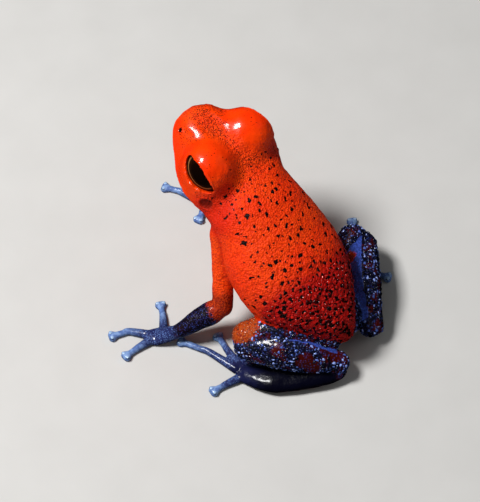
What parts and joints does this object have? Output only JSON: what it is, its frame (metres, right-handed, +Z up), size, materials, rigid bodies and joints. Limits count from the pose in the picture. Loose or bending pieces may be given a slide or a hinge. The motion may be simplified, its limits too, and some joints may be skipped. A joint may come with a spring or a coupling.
{
  "type": "poison dart frog model",
  "caption": "Life-size still model of a small strawberry poison dart frog sitting on splayed hands and feet, with raised head, folded hind legs and disc-tipped digits.",
  "frame": {"origin": "middle of the bounding box on the floor, at the level that the hands and feet rest on", "axes": "+Z up; the frog faces -Y and its left side is towards +X"},
  "size_m": [0.0212, 0.022, 0.0142],
  "materials": {
    "torso": "moist satin skin, bright orange-red with small black spots",
    "head": "moist satin skin, bright orange-red with dark specks",
    "upper_arm_left": "moist satin skin, orange",
    "upper_arm_right": "moist satin skin, orange",
    "forearm_left": "moist satin skin, night blue",
    "forearm_right": "moist satin skin, night blue",
    "hand_left": "moist satin skin, steel blue",
    "hand_right": "moist satin skin, steel blue",
    "thigh_left": "moist granular skin, black and blue",
    "thigh_right": "moist granular skin, black and blue",
    "shank_left": "moist granular skin, black and blue",
    "shank_right": "moist granular skin, black and blue",
    "foot_left": "moist satin skin, steel blue",
    "foot_right": "moist satin skin, steel blue",
    "eye_left": "wet gloss, almost black",
    "eye_right": "wet gloss, almost black"
  },
  "bodies": {
    "root": {"torso": "torso", "head": "head", "eye_left": "eye_left", "eye_right": "eye_right", "upper_arm_left": "upper_arm_left", "upper_arm_right": "upper_arm_right", "forearm_left": "forearm_left", "forearm_right": "forearm_right", "hand_left": "hand_left", "hand_right": "hand_right", "thigh_left": "thigh_left", "thigh_right": "thigh_right", "shank_left": "shank_left", "shank_right": "shank_right", "foot_left": "foot_left", "foot_right": "foot_right"}
  },
  "joints": []
}
